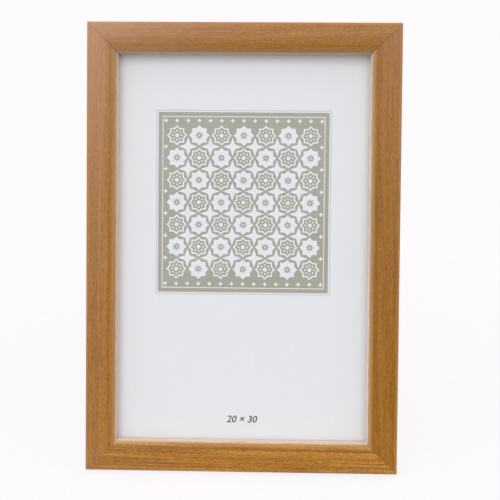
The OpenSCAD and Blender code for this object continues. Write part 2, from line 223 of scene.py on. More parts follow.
# %% [markdown]
# ## Studio
# A white floor runs out to a white background. The camera sees mostly the background's own white in the
# floor, with a share of plain diffuse white near the frame that takes its shadow. The gloss sees the backdrop
# too, but the half of the studio behind the camera is darker, as in a real one, which keeps wood and metal
# lively. Matt surfaces get the room's soft light instead: a little from everywhere, most from in front and
# from the sides. The floor sends them less than it shows, or the underside of every edge would glow.

# %% Floor
FLOOR_SIZE = 8.0
FADE_FROM, FADE_TO = 0.15, 0.75
BACKDROP = "#fdfbfc"
GLOW_NEAR, GREY_NEAR = 0.88, 0.5


def rays(tree):
    """The kinds of ray, and 1 for those that the camera sees, straight, in a mirror or through glass."""
    kinds = add(tree, "ShaderNodeLightPath").outputs
    seen = maths(tree, "MAXIMUM", kinds["Is Camera Ray"], kinds["Is Glossy Ray"])
    return kinds, maths(tree, "MAXIMUM", seen, kinds["Is Transmission Ray"])


floor_mesh = bpy.data.meshes.new("floor")
half = FLOOR_SIZE / 2
corners = [(-half, -half, 0), (half, -half, 0), (half, half, 0), (-half, half, 0)]
floor_mesh.from_pydata(corners, [], [(0, 1, 2, 3)])
floor = bpy.data.objects.new("floor", floor_mesh)
bpy.context.collection.objects.link(floor)

white_floor = empty_material("white_studio_floor")
tree = white_floor.node_tree
ray, seen = rays(tree)
distance = vector_maths(tree, "LENGTH", add(tree, "ShaderNodeTexCoord").outputs["Object"])
fade = spread(tree, distance, FADE_FROM, FADE_TO, curve="SMOOTHSTEP")
glow = maths(tree, "MULTIPLY", seen, spread(tree, fade, 0, 1, GLOW_NEAR, 1))
grey = maths(tree, "MULTIPLY", spread(tree, fade, 0, 1, GREY_NEAR, 1), ray["Is Diffuse Ray"])
tone = mix(tree, grey, linear("#f4f4f4"), linear("#5a5a5a"))
matt = add(tree, "ShaderNodeBsdfDiffuse", {"Color": tone}).outputs[0]
light = add(tree, "ShaderNodeEmission", {"Color": linear(BACKDROP), "Strength": 1.0}).outputs[0]
shade(white_floor, add(tree, "ShaderNodeMixShader", {0: glow, 1: matt, 2: light}))
floor_mesh.materials.append(white_floor)

# %% Background and the room's light
ROOM_LIGHT = 0.25
ROOM_SIDES = (
    ("Y", -0.1, -0.95, 1.06), ("X", 0.45, 0.95, 1.0), ("X", -0.45, -0.95, 0.85), ("Y", 0.1, 0.8, 0.4),
)
DARK_HALF = 0.12

world = bpy.data.worlds.new("studio")
bpy.context.scene.world = world
world.use_nodes = True
tree = world.node_tree
tree.nodes.clear()
ray, seen = rays(tree)
direction = axes_of(tree, add(tree, "ShaderNodeTexCoord").outputs["Generated"])
room = ROOM_LIGHT
for axis, low, high, level in ROOM_SIDES:
    side = spread(tree, direction[axis], low, high, 0, level, curve="SMOOTHSTEP")
    room = maths(tree, "ADD", side, room)
ambient = add(tree, "ShaderNodeBackground", {"Color": linear("#fbf9fa"), "Strength": room}).outputs[0]
mirrored = spread(tree, direction["Y"], -0.7, 0.0, DARK_HALF, 1, curve="SMOOTHSTEP")
strength = add(tree, "ShaderNodeMix", {"Factor": ray["Is Glossy Ray"], 2: 1.0, 3: mirrored}).outputs[0]
white = add(tree, "ShaderNodeBackground", {"Color": linear(BACKDROP), "Strength": strength}).outputs[0]
mixed = add(tree, "ShaderNodeMixShader", {0: seen, 1: ambient, 2: white}).outputs[0]
add(tree, "ShaderNodeOutputWorld", {"Surface": mixed})
bpy.context.scene.view_settings.view_transform = "Standard"

# %% [markdown]
# The main lamp hangs high in front and puts the lip's shadow on the top of the picture. A panel on the left
# stands just outside of what the glass mirrors, so only the satin lacquer catches it, as a sheen on the left
# stile. A lamp overhead lights the top rail and the floor.

# %% Lamps


def softbox(name, place, width, height, watts):
    """A rectangular lamp at a place in upright metres from the picture's centre, aimed at it."""
    lamp = bpy.data.lights.new(name, "AREA")
    lamp.shape = "RECTANGLE"
    lamp.size, lamp.size_y = width, height
    lamp.energy = watts
    made = bpy.data.objects.new(name, lamp)
    target = CENTRE * MM
    spot = target + Vector(place)
    aim = (spot - target).to_track_quat("Z", "Y").to_matrix().to_4x4()
    made.matrix_world = STANCE @ Matrix.Translation(spot) @ aim
    bpy.context.collection.objects.link(made)


softbox("main_lamp", (0.15, -2.0, 1.2), width=1.8, height=1.1, watts=12)
softbox("left_panel", (-0.8, -2.0, 0.6), width=0.5, height=1.7, watts=6.3)
softbox("top_fill", (0.0, -0.9, 2.5), width=2.4, height=1.4, watts=14.5)

# %% [markdown]
# ## Patterns in millimetres
# Every finish here is drawn at its real size. A pattern takes a place in millimetres and the size of its
# spots along, across and through, because a fibre is long and thin and a speck is round. Pieces that keep the
# CAD part's shape read their place from Object coordinates, which are metres, so these are multiplied up.

# %% Pattern helpers


def pattern(tree, place, size_mm, detail=2.0, roughness=0.5):
    """Noise whose spots measure size_mm along, across and through."""
    return add(tree, "ShaderNodeTexNoise", {
        "Vector": vector_maths(tree, "DIVIDE", place, size_mm), "Scale": 1.0,
        "Detail": detail, "Roughness": roughness,
    }).outputs["Fac"]


def object_place(tree):
    """The place on a piece in millimetres."""
    metres = add(tree, "ShaderNodeTexCoord").outputs["Object"]
    return add(tree, "ShaderNodeVectorMath", {0: metres, "Scale": 1 / MM}, operation="SCALE").outputs[0]


def stored(tree, name):
    """A vector that a node tree has stored on every point."""
    return add(tree, "ShaderNodeAttribute", attribute_name=name).outputs["Vector"]


# %% [markdown]
# ## The wood
# The moulding is softwood with a straight grain, stained a warm walnut brown and given a satin lacquer. What
# the eye sees is, from large to small: the uneven take of the stain, growth rings cut lengthwise, fine long
# lines, thin dark streaks where resin runs, a short mottle, and the fibres. A solid pattern is used, as in a
# real plank: every bar carries its own coordinates, measured from the heart of its tree, so the lines run
# over its edges. The fibres are drawn coarser than the real 0.05 mm, as finer ones don't show from this far.

# %% Growth rings
RING_PITCH = 2.3
RING_SWAY, RING_WOBBLE = 3.4, 0.5
RING_ENDS = 0.4
RING_TONES = ((0.14, 0.08), (0.4, 0.0), (0.7, 0.35), (0.9, 1.0))

wood = empty_material("stained_pine_satin_lacquer")
tree = wood.node_tree
grain = stored(tree, "grain")
across = axes_of(tree, grain)
radius = vector_maths(tree, "LENGTH", vector_of(tree, X=across["Y"], Y=across["Z"]))
sway = spread(tree, pattern(tree, grain, (110, 26, 26), 1.0), 0, 1, -RING_SWAY, RING_SWAY)
wobble = spread(tree, pattern(tree, grain, (30, 4, 4), 2.0), 0, 1, -RING_WOBBLE, RING_WOBBLE)
radius = maths(tree, "ADD", maths(tree, "ADD", radius, sway), wobble)
age = maths(tree, "DIVIDE", radius, RING_PITCH)
late = add(tree, "ShaderNodeValToRGB", {"Fac": maths(tree, "FRACT", age)})
ramp = late.color_ramp
ramp.elements[0].color = ramp.elements[1].color = (RING_ENDS, RING_ENDS, RING_ENDS, 1)
for position, level in RING_TONES:
    ramp.elements.new(position).color = (level, level, level, 1)
year = add(tree, "ShaderNodeTexWhiteNoise", {"W": maths(tree, "FLOOR", age)}, noise_dimensions="1D")
late = maths(tree, "MULTIPLY", late.outputs["Color"], spread(tree, year.outputs["Value"], 0, 1, 0.35, 1.0))

# %% Fibres, lines, streaks and the take of the stain
fibre = pattern(tree, grain, (8, 0.8, 0.8), 5.0, 0.78)
line = pattern(tree, grain, (130, 1.3, 1.3), 2.0, 0.6)
mottle = pattern(tree, grain, (2.6, 0.9, 0.9), 3.0, 0.7)
fleck = spread(tree, pattern(tree, grain, (3, 0.7, 0.7), 1.0), 0.56, 0.72)
streak = spread(tree, pattern(tree, grain, (34, 0.9, 0.9), 1.0), 0.69, 0.77)
take = spread(tree, pattern(tree, grain, (60, 8, 8), 2.0), 0.3, 0.7)
cloud = spread(tree, pattern(tree, grain, (14, 5, 5), 2.0), 0.3, 0.7)
bar_look = axes_of(tree, stored(tree, "bar_look"))
# bare: the share of pale lip and sight edge, partly rubbed wear and partly painted light; lines: the long
# grain lines.
bare, lines = bar_look["X"], bar_look["Y"]


def tinted(tree, colour, layers):
    """Lays tints over a colour, each with its label, its share and its sRGB hex value."""
    for label, share, tone in layers:
        colour = mix(tree, share, colour, linear(tone), label)
    return colour


stain = mix(tree, take, linear("#a46f0c"), linear("#b88012"), "take of the stain")
stain = tinted(tree, stain, (
    ("clouds", maths(tree, "MULTIPLY", cloud, 0.5), "#b36b20"),
    ("late wood", maths(tree, "MULTIPLY", late, 0.75), "#7a4c06"),
    ("dark fibres", spread(tree, fibre, 0.48, 0.64, 0.0, 0.55), "#6c4206"),
    ("light fibres", spread(tree, fibre, 0.48, 0.34, 0.0, 0.4), "#c8902c"),
    ("dark lines", maths(tree, "MULTIPLY", spread(tree, line, 0.5, 0.64), lines), "#6c4206"),
    ("light lines", maths(tree, "MULTIPLY", spread(tree, line, 0.48, 0.36), lines), "#cc9440"),
    ("dark mottle", spread(tree, mottle, 0.5, 0.66, 0.0, 0.5), "#6a4408"),
    ("light mottle", spread(tree, mottle, 0.5, 0.34, 0.0, 0.42), "#c8903c"),
    ("flecks", maths(tree, "MULTIPLY", fleck, 0.45), "#6a400c"),
    ("resin streaks", maths(tree, "MULTIPLY", streak, 0.6), "#5c3a0c"),
))

# %% [markdown]
# No two bars took the stain alike, and each bar also carries painted light. Each bar's tree stores where a
# point lies on the section, and how dark its stain is, partly its own tone and partly painted shade. It
# stores how much painted sheen the bar gets towards its ends, mostly near the top-left corner. It stores how
# pale its lip and sight edge
# are: partly rubbed bare, partly painted light and reflection that follows the light on that side. A painted
# reflection of the white room lies along the outer round, and a darker band lies where the crown breaks to
# the lip.

# %% Painted sheen at the ends, rubbed and painted-lit lip, painted reflection on the round
BREAK_U = 17.2
# The pale tone on the lip and the sight edge is partly real rubbed wear and partly painted light: a painted
# highlight from above and a painted reflection of the paper, set for each bar by how light falls on its side.
RUB_AND_LIGHT_FROM, RUB_AND_LIGHT_MID, RUB_AND_LIGHT_TO = MOULDING_W - 3.9, MOULDING_W - 1, MOULDING_W - 0.1
# Where the painted reflection of the white room lies across the front of the outer round.
RIM_REFLECTION_FROM, RIM_REFLECTION_TO = 13.8, 15.4

where = axes_of(tree, stored(tree, "section_place"))
# Stored per bar: x the stain's darkness, partly its own tone and partly painted shade; y the painted sheen; z
# the glue line's share.
taken = axes_of(tree, stored(tree, "stain_taken"))
from_outside = maths(tree, "ADD", where["X"], spread(tree, fibre, 0.3, 0.7, -0.5, 0.5))
# Painted sheen: a paler, pinker colour towards the bar ends, strongest on the outer half, stands in for the
# lacquer's sheen near the top corners.
painted_sheen_share = maths(tree, "MULTIPLY", taken["Y"], spread(tree, from_outside, 2, 18, 1.5, 0.8))
from_break = maths(tree, "ABSOLUTE", maths(tree, "SUBTRACT", from_outside, BREAK_U))
# Rubbed lip and bare sight edge: partly wear, partly a painted highlight and reflection.
rubbed_and_lit_lip = spread(tree, from_outside, RUB_AND_LIGHT_FROM, RUB_AND_LIGHT_MID, 0.0, 0.34)
bare_and_lit_sight_edge = spread(tree, from_outside, RUB_AND_LIGHT_MID, RUB_AND_LIGHT_TO, 0.0, 0.85)
# Painted reflection: a lighter tint on the outer round that stands in for the white room mirrored in the
# lacquer at a grazing angle.
rim_reflection_side = spread(tree, from_outside, 2.6, 0.6, 0.0, 0.5)
rim_reflection_front = spread(tree, where["Y"], RIM_REFLECTION_FROM, RIM_REFLECTION_TO)
stain = tinted(tree, stain, (
    # partly the bar's own stain, partly painted shade on the top rail and the stiles
    ("stain taken", taken["X"], "#784602"),
    # painted sheen near the ends, not a paler stain
    ("pale ends", painted_sheen_share, "#bc947a"),
    ("band at the break", spread(tree, from_break, 0.4, 1.4, 0.35, 0.0), "#8a5806"),
    # partly rubbed wear, partly painted highlight and painted reflection of the paper
    ("rubbed lip", maths(tree, "MULTIPLY", rubbed_and_lit_lip, bare), "#d8b48c"),
    ("bare sight edge", maths(tree, "MULTIPLY", bare_and_lit_sight_edge, bare), "#ead8c6"),
    # painted reflection of the white room, not worn lacquer
    ("worn outer round", maths(tree, "MULTIPLY", rim_reflection_side, rim_reflection_front), "#bd8c58"),
))

# %% [markdown]
# A mitre collects stain in its glue line and shows as a thin dark line. The face that goes to the wall, and
# the rebate that the glass lies in, get no lacquer: there the raw wood shows, with a little overspray round
# the edge.

# %% Mitre line, raw back and lacquer
LACQUERED, RAW = 0.4, 0.75
PORE_DEPTH = 0.08

glue_line = maths(tree, "MULTIPLY", spread(tree, where["X"], 4, 18, 0.15, 0.9), taken["Z"])
glue_line = maths(tree, "MULTIPLY", spread(tree, where["Z"], 0.1, 0.55, 1.0, 0.0), glue_line)
overspray = spread(tree, pattern(tree, grain, (3, 1.5, 1.5), 3.0), 0.3, 0.7, -0.5, 0.5)
raw_back = spread(tree, maths(tree, "ADD", where["Y"], overspray), 0.2, 1.0, 1.0, 0.0)
past_back = spread(tree, where["X"], BACK_W - 0.1, BACK_W - 0.05)
behind_lip = spread(tree, where["Y"], REBATE_D + 0.1, REBATE_D + 0.05)
raw = maths(tree, "MAXIMUM", raw_back, maths(tree, "MULTIPLY", past_back, behind_lip))
pine = mix(tree, spread(tree, fibre, 0.3, 0.7), linear("#edcb9a"), linear("#e2b67e"), "raw pine")
pine = mix(tree, maths(tree, "MULTIPLY", late, 0.5), pine, linear("#cf9a58"), "raw late wood")
colour = mix(tree, raw, stain, pine, "raw back and rebate")
colour = mix(tree, glue_line, colour, linear("#4a2c0e"), "glue line")
relief = maths(tree, "SUBTRACT", fibre, maths(tree, "MULTIPLY", late, 0.5))
roughness = maths(tree, "ADD", spread(tree, raw, 0, 1, LACQUERED, RAW),
                  spread(tree, fibre, 0.3, 0.7, -0.05, 0.06))
shade(wood, add(tree, "ShaderNodeBsdfPrincipled", {
    "Base Color": colour, "Roughness": roughness, "IOR": 1.5, "Specular IOR Level": 0.26,
    "Normal": bump(tree, relief, 0.35, PORE_DEPTH),
}))
print("wood nodes:", len(tree.nodes))

# %% [markdown]
# ## The moulding
# A frame maker runs one long moulding through a cutter and saws four lengths from it at 45 degrees. Here the
# section is drawn once and a node tree does the same: it sweeps the section along a line, then leans each end
# over by the distance from the outer side, which is what a mitre saw leaves. A tree suits it because the four
# bars differ only in length and in the piece of wood that they come from.

# %% Draw the section
CROWN_PEAK, CROWN_DROP = 13, 2.2
OUTER_ROUND, ARRIS = 1.8, 0.8
LIP_ROUND_W, LIP_BREAK = 3.5, math.radians(20)
SIGHT_ARRIS = 0.25

crown_r = (CROWN_PEAK**2 + CROWN_DROP**2) / (2 * CROWN_DROP)
crown_v = MOULDING_D - crown_r


def arc(centre, radius, start, end, steps):
    """Points on an arc from one angle to another, counted from the u axis towards v, in degrees."""
    angles = (math.radians(start + (end - start) * i / steps) for i in range(steps + 1))
    return [(centre[0] + radius * math.cos(a), centre[1] + radius * math.sin(a)) for a in angles]


def section():
    """The moulding's outline: u runs in from the outer side and v forward from the back."""
    outer_v = crown_v + math.sqrt((crown_r - OUTER_ROUND) ** 2 - (CROWN_PEAK - OUTER_ROUND) ** 2)
    tilt = math.degrees(math.asin((CROWN_PEAK - OUTER_ROUND) / (crown_r - OUTER_ROUND)))
    lip_r = LIP_ROUND_W / (1 - math.sin(LIP_BREAK))
    lip_u = MOULDING_W - LIP_ROUND_W
    lip_top = crown_v + math.sqrt(crown_r**2 - (lip_u - CROWN_PEAK) ** 2)
    lip_centre = (MOULDING_W - lip_r, lip_top - lip_r * math.cos(LIP_BREAK))
    sight_centre = (MOULDING_W - SIGHT_ARRIS, REBATE_D + SIGHT_ARRIS)
    crown_end = math.degrees(math.asin((lip_u - CROWN_PEAK) / crown_r))
    points = [(BACK_W, 0)]
    points += arc((ARRIS, ARRIS), ARRIS, 270, 180, steps=6)
    points += arc((OUTER_ROUND, outer_v), OUTER_ROUND, 180, 90 + tilt, steps=10)
    points += arc((CROWN_PEAK, crown_v), crown_r, 90 + tilt, 90 - crown_end, steps=28)[1:]
    points += arc(lip_centre, lip_r, 90 - math.degrees(LIP_BREAK), 0, steps=14)
    points += arc(sight_centre, SIGHT_ARRIS, 0, -90, steps=4)
    points += [(BACK_W, REBATE_D)]
    return points


outline = section()
curve = bpy.data.curves.new("moulding_section", "CURVE")
curve.dimensions = "2D"
spline = curve.splines.new("POLY")
spline.points.add(len(outline) - 1)
for point, (u, v) in zip(spline.points, outline):
    point.co = (u, v, 0, 1)
spline.use_cyclic_u = True
section_object = bpy.data.objects.new("moulding_section", curve)
print("section points:", len(outline))

# %% Helpers for geometry trees


def socket(tree, name, kind, default=None, minimum=None):
    """Adds a named input to a node tree and returns its identifier."""
    made = tree.interface.new_socket(name, in_out="INPUT", socket_type=kind)
    if default is not None:
        made.default_value = default
    if minimum is not None:
        made.min_value = minimum
    return made.identifier


def store(tree, geometry, name, vector):
    """Keeps a vector on every point under a name that a shader can read."""
    keeper = add(tree, "GeometryNodeStoreNamedAttribute", {"Geometry": geometry, "Name": name},
                 data_type="FLOAT_VECTOR", domain="POINT")
    tree.links.new(vector, next(s for s in keeper.inputs if s.name == "Value" and s.enabled))
    return keeper.outputs[0]


def coat(tree, geometry, given):
    """Ends a tree: turns its copies into real geometry and gives all of it the material."""
    real = add(tree, "GeometryNodeRealizeInstances", {"Geometry": geometry}).outputs[0]
    coated = add(tree, "GeometryNodeSetMaterial", {"Geometry": real, "Material": given["Material"]})
    add(tree, "NodeGroupOutput", {0: coated.outputs[0]})


# %% Sweep and mitre a bar
bar_tree = bpy.data.node_groups.new("mitred_bar", "GeometryNodeTree")
BAR = {
    "section": socket(bar_tree, "Section", "NodeSocketObject"),
    "length": socket(bar_tree, "Length", "NodeSocketFloat", 100.0, 1.0),
    "glue": socket(bar_tree, "Glue line", "NodeSocketFloat", 0.0, 0.0),
    "steps": socket(bar_tree, "Steps", "NodeSocketInt", 65, 3),
    "heart": socket(bar_tree, "Heart of the tree", "NodeSocketVector"),
    "runout": socket(bar_tree, "Grain runout", "NodeSocketFloat", 0.0),
    "stain": socket(bar_tree, "Stain taken", "NodeSocketFloat", 0.0, 0.0),
    # The two sheen shares paint the lacquer's sheen into the colour near a bar's ends.
    "pale_start": socket(bar_tree, "Pale at the start", "NodeSocketFloat", 0.0, 0.0),
    "pale_end": socket(bar_tree, "Pale at the end", "NodeSocketFloat", 0.0, 0.0),
    "joint": socket(bar_tree, "Stain in the joint", "NodeSocketFloat", 1.0, 0.0),
    # How pale the lip and sight edge are: partly rubbed wear, partly painted light set by the light on the
    # bar's side.
    "bare": socket(bar_tree, "Bare sight edge", "NodeSocketFloat", 1.0, 0.0),
    "lines": socket(bar_tree, "Long grain lines", "NodeSocketFloat", 0.3, 0.0),
    "material": socket(bar_tree, "Material", "NodeSocketMaterial"),
}
bar_tree.interface.new_socket("Bar", in_out="OUTPUT", socket_type="NodeSocketGeometry")
tree = bar_tree
given = add(tree, "NodeGroupInput").outputs
half_length = maths(tree, "MULTIPLY", given["Length"], 0.5)
minus_half = maths(tree, "MULTIPLY", half_length, -1.0)
path = add(tree, "GeometryNodeCurvePrimitiveLine", {
    "Start": vector_of(tree, Z=minus_half), "End": vector_of(tree, Z=half_length),
}).outputs[0]
path = add(tree, "GeometryNodeResampleCurve", {"Curve": path, "Count": given["Steps"]}).outputs[0]
profile = add(tree, "GeometryNodeObjectInfo", {"Object": given["Section"]}).outputs["Geometry"]
swept = add(tree, "GeometryNodeCurveToMesh", {
    "Curve": path, "Profile Curve": profile, "Fill Caps": True,
}).outputs[0]
part = axes_of(tree, add(tree, "GeometryNodeInputPosition").outputs[0])
reach = maths(tree, "SUBTRACT", maths(tree, "SUBTRACT", half_length, part["X"]), given["Glue line"])
along = maths(tree, "MULTIPLY", maths(tree, "DIVIDE", part["Z"], half_length), reach)
moved = vector_of(tree, X=along, Y=part["X"], Z=part["Y"])
mitred = add(tree, "GeometryNodeSetPosition", {"Geometry": swept, "Position": moved}).outputs[0]

# %% Store what the wood's shader reads
place = add(tree, "GeometryNodeInputPosition").outputs[0]
part = axes_of(tree, place)
to_mitre = maths(tree, "SUBTRACT", half_length, maths(tree, "ABSOLUTE", part["X"]))
to_mitre = maths(tree, "SUBTRACT", to_mitre, part["Y"])
mitred = store(tree, mitred, "section_place", vector_of(tree, X=part["Y"], Y=part["Z"], Z=to_mitre))
drift = vector_of(tree, Y=maths(tree, "MULTIPLY", part["X"], given["Grain runout"]))
in_tree = vector_maths(tree, "SUBTRACT", place, given["Heart of the tree"])
mitred = store(tree, mitred, "grain", vector_maths(tree, "ADD", in_tree, drift))
to_end = spread(tree, part["X"], minus_half, half_length)
# Each end's share of painted sheen: a paler colour that stands in for the lacquer's sheen near the top
# corners.
pale = []
for at_start, at_end, strength in ((1, 0, given["Pale at the start"]), (0, 1, given["Pale at the end"])):
    nearness = maths(tree, "POWER", spread(tree, to_end, 0, 1, at_start, at_end), 2.0)
    pale.append(maths(tree, "MULTIPLY", nearness, strength))
mitred = store(tree, mitred, "stain_taken", vector_of(
    tree, X=given["Stain taken"], Y=maths(tree, "ADD", *pale), Z=given["Stain in the joint"]))
mitred = store(tree, mitred, "bar_look", vector_of(
    tree, X=given["Bare sight edge"], Y=given["Long grain lines"]))
coat(tree, mitred, given)

# %% Make a finished piece from a tree
SHARP_ANGLE = math.radians(30)


def plain_mesh(source):
    """What an object's modifiers make of it, as a mesh of its own. The object itself goes."""
    graph = bpy.context.evaluated_depsgraph_get()
    mesh = bpy.data.meshes.new_from_object(
        source.evaluated_get(graph), preserve_all_data_layers=True, depsgraph=graph)
    bpy.data.objects.remove(source)
    return mesh


def grow(name, tree, values):
    """Runs a node tree with the given inputs and returns what it makes as a plain mesh."""
    seed = bpy.data.objects.new(name, bpy.data.meshes.new(name))
    bpy.context.collection.objects.link(seed)
    modifier = seed.modifiers.new(name, "NODES")
    modifier.node_group = tree
    for identifier, value in values.items():
        modifier[identifier] = value
    mesh = plain_mesh(seed)
    mesh.name = name
    return mesh


def piece(name, mesh, matrix, node):
    """Puts a mesh drawn in upright millimetres into the scene, in the place of one of the frame's nodes."""
    mesh.transform(FROM_MM @ matrix)
    mesh.set_sharp_from_angle(angle=SHARP_ANGLE)
    made = bpy.data.objects.new(name, mesh)
    bpy.context.collection.objects.link(made)
    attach(made, "frame")
    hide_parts(node)
    print(name, len(mesh.polygons), "faces", tuple(round(v / MM, 1) for v in made.dimensions), "mm")


# %% Saw the four bars
GLUE_LINE, BAR_STEPS = 0.005, 65
BAR_LOOKS = ("heart", "runout", "stain", "pale_start", "pale_end", "joint", "bare", "lines")
# Per bar: heart of its tree, grain runout, stain darkness (partly painted shade), painted sheen at the start
# and at the end, stain in the joint, pale sight edge (partly painted light) and long grain lines.
bars = {
    "bottom_rail": (OUTER_W, 0, ((340, 6, -26), 0.022, 0.0, 0.1, 0.05, 0.15, 0.9, 0.6)),
    "top_rail": (OUTER_W, 180, ((-510, 30, -34), -0.012, 0.36, 0.12, 0.45, 1.0, 0.6, 0.42)),
    "left_stile": (OUTER_H, 90, ((95, -14, -22), 0.010, 0.26, 0.5, 0.12, 0.4, 0.8, 0.3)),
    "right_stile": (OUTER_H, -90, ((-120, 34, -18), -0.016, 0.38, 0.0, 0.22, 0.3, 1.6, 0.3)),
}

bpy.context.collection.objects.link(section_object)
for node, (length, angle, looks) in bars.items():
    mesh = grow(node, bar_tree, {
        BAR["section"]: section_object, BAR["length"]: length, BAR["glue"]: GLUE_LINE,
        BAR["steps"]: BAR_STEPS, BAR["material"]: wood,
        **{BAR[key]: value for key, value in zip(BAR_LOOKS, looks)},
    })
    to_side = OUTER_H / 2 if length == OUTER_W else OUTER_W / 2
    upright = Matrix.Translation((0, 0, -to_side)) @ turn(90, "X")
    piece(node + "_wood", mesh, Matrix.Translation(CENTRE) @ turn(angle, "Y") @ upright, node)
bpy.data.objects.remove(section_object)

# %% [markdown]
# ## The glass
# The pane is 2 mm float glass with ground edges. Real glass bends and mirrors light, which a refracting
# shader shows, but a renderer would then lose the lamps' light on the print behind it. So rays that carry
# light to the print, shadow rays and diffuse rays, go straight through, and the camera's own rays meet real
# glass.

# %% Glass pane
PANE_FRONT, PANE_BACK = -5.5, -3.52
GROUND_EDGE = 0.3
SUNK_IN_REBATE = 0.9
SHEET_LOW = (OUTER_H - PICTURE_H) / 2 - SUNK_IN_REBATE

glass = empty_material("clear_float_glass")
tree = glass.node_tree
ray = add(tree, "ShaderNodeLightPath").outputs
passing = maths(tree, "MAXIMUM", ray["Is Shadow Ray"], ray["Is Diffuse Ray"])
bending = add(tree, "ShaderNodeBsdfPrincipled", {
    "Base Color": linear("#fbfdfc"), "Roughness": 0.0, "IOR": 1.5, "Transmission Weight": 1.0,
}).outputs[0]
clear = add(tree, "ShaderNodeBsdfTransparent").outputs[0]
shade(glass, add(tree, "ShaderNodeMixShader", {0: passing, 1: bending, 2: clear}))


def slab(name, front, back, edge, material):
    """A closed block as large as the picture between two depths, with edge millimetres off its edges."""
    low = (-PICTURE_W / 2, front, SHEET_LOW)
    high = (PICTURE_W / 2, back, SHEET_LOW + PICTURE_H)
    block = bmesh.new()
    bmesh.ops.create_cube(block, size=1.0)
    for vert in block.verts:
        vert.co = [low[i] if vert.co[i] < 0 else high[i] for i in range(3)]
    bmesh.ops.bevel(block, geom=block.edges[:], offset=edge, segments=1, affect="EDGES")
    mesh = bpy.data.meshes.new(name)
    block.to_mesh(mesh)
    block.free()
    mesh.materials.append(material)
    return mesh


pane_mesh = slab("float_glass_pane", PANE_FRONT, PANE_BACK, GROUND_EDGE, glass)
piece("float_glass_pane", pane_mesh, Matrix(), "glass_pane")

# %% [markdown]
# ## The printed sheet
# New frames come with a printed sheet that shows the picture's place. It is smooth, slightly blue-white paper
# with one sage panel, a hair line round it, and a white pattern. Two faces in one plane flicker in a render,
# so each layer of ink stands two hundredths of a millimetre in front of the one below it.

# %% Paper and inks
PAPER_BACK, PAPER_FRONT = -3.24, -3.44
PANEL_FRONT, PATTERN_FRONT = -3.46, -3.48
PAPER_EDGE = 0.05
INK = 0.03
TOOTH_DEPTH = 0.02

paper = empty_material("matt_coated_paper")
tree = paper.node_tree
pulp = spread(tree, pattern(tree, object_place(tree), (1.4, 1.4, 1.4), 4.0, 0.6), 0.3, 0.7)
shade(paper, add(tree, "ShaderNodeBsdfPrincipled", {
    "Base Color": mix(tree, pulp, linear("#e2e3e9"), linear("#e6e6eb")),
    "Roughness": 0.62, "IOR": 1.45, "Specular IOR Level": 0.3, "Normal": bump(tree, pulp, 0.1, TOOTH_DEPTH),
}))


def ink(name, light_tone, dark_tone):
    """Ink on paper: two close tones, mottled as flat ink is, and a little smoother than bare paper."""
    made = empty_material(name)
    tree = made.node_tree
    place = object_place(tree)
    mottle = spread(tree, pattern(tree, place, (0.9, 0.9, 0.9), 3.0, 0.6), 0.3, 0.7, 0.0, 0.5)
    wash = spread(tree, pattern(tree, place, (60, 60, 60), 1.0), 0.3, 0.7, 0.0, 0.5)
    return shade(made, add(tree, "ShaderNodeBsdfPrincipled", {
        "Base Color": mix(tree, maths(tree, "ADD", mottle, wash), linear(light_tone), linear(dark_tone)),
        "Roughness": 0.5, "IOR": 1.5, "Specular IOR Level": 0.3,
    }))


sage_ink = ink("sage_offset_ink", "#abaa9e", "#a1a092")
line_ink = ink("grey_offset_ink", "#bfc0bb", "#b6b7b1")
paper_white = ink("white_left_bare", "#e7e8ee", "#e3e4ea")
dark_ink = ink("dark_offset_ink", "#3a3a3e", "#323236")

sheet_mesh = slab("printed_sheet", PAPER_FRONT, PAPER_BACK, PAPER_EDGE, paper)
piece("printed_sheet", sheet_mesh, Matrix(), "picture_print")

# %% [markdown]
# ## Drawing with node trees
# A print is flat outlines filled with ink. Every tree below ends the same way: fill the outlines, raise them
# by the ink's thickness, close the underside and give them their ink. Where one outline lies inside another,
# the fill leaves a hole, so a star inside a star makes a ring.

# %% Ink an outline
WELD = 0.001


def inked(tree, flat, given):
    """Raises a flat mesh to a closed layer of ink, and ends the tree with it."""
    raised = add(tree, "GeometryNodeExtrudeMesh", {
        "Mesh": flat, "Offset": vector_of(tree, Z=given["Ink"]), "Offset Scale": 1.0, "Individual": False,
    }).outputs["Mesh"]
    under = add(tree, "GeometryNodeFlipFaces", {"Mesh": flat}).outputs[0]
    both = add(tree, "GeometryNodeJoinGeometry", {0: under})
    tree.links.new(raised, both.inputs[0])
    closed = add(tree, "GeometryNodeMergeByDistance", {"Geometry": both.outputs[0], "Distance": WELD})
    coat(tree, closed.outputs[0], given)


def drawing_tree(name, sizes):
    """A new tree with named sizes, an ink and its thickness. Returns it, its inputs and their sockets."""
    tree = bpy.data.node_groups.new(name, "GeometryNodeTree")
    kinds = {int: "NodeSocketInt", float: "NodeSocketFloat"}
    ids = {label: socket(tree, label, kinds[type(value)], value) for label, value in sizes.items()}
    ids["Ink"] = socket(tree, "Ink", "NodeSocketFloat", INK)
    ids["Material"] = socket(tree, "Material", "NodeSocketMaterial")
    tree.interface.new_socket("Print", in_out="OUTPUT", socket_type="NodeSocketGeometry")
    return tree, ids, add(tree, "NodeGroupInput").outputs


# %% The panel and its rules
PANEL_W, PANEL_H = 126.4, 133.4
PANEL_CENTRE = CENTRE + Vector((-0.1, 0, 33.8))
KEYLINE, KEYLINE_GAP = 0.5, 1.0
BORDER, BORDER_INSET = 0.6, 3.0


def print_layer(name, tree, ids, material, front, **sizes):
    """Runs a drawing tree and stands the result up on the panel's centre, its inked side on front."""
    values = {ids[label.replace("_", " ")]: value for label, value in sizes.items()}
    mesh = grow(name, tree, {**values, ids["Ink"]: INK, ids["Material"]: material})
    stand = Matrix.Translation((PANEL_CENTRE.x, front + INK, PANEL_CENTRE.z)) @ turn(90, "X")
    piece(name, mesh, stand, "picture_print")


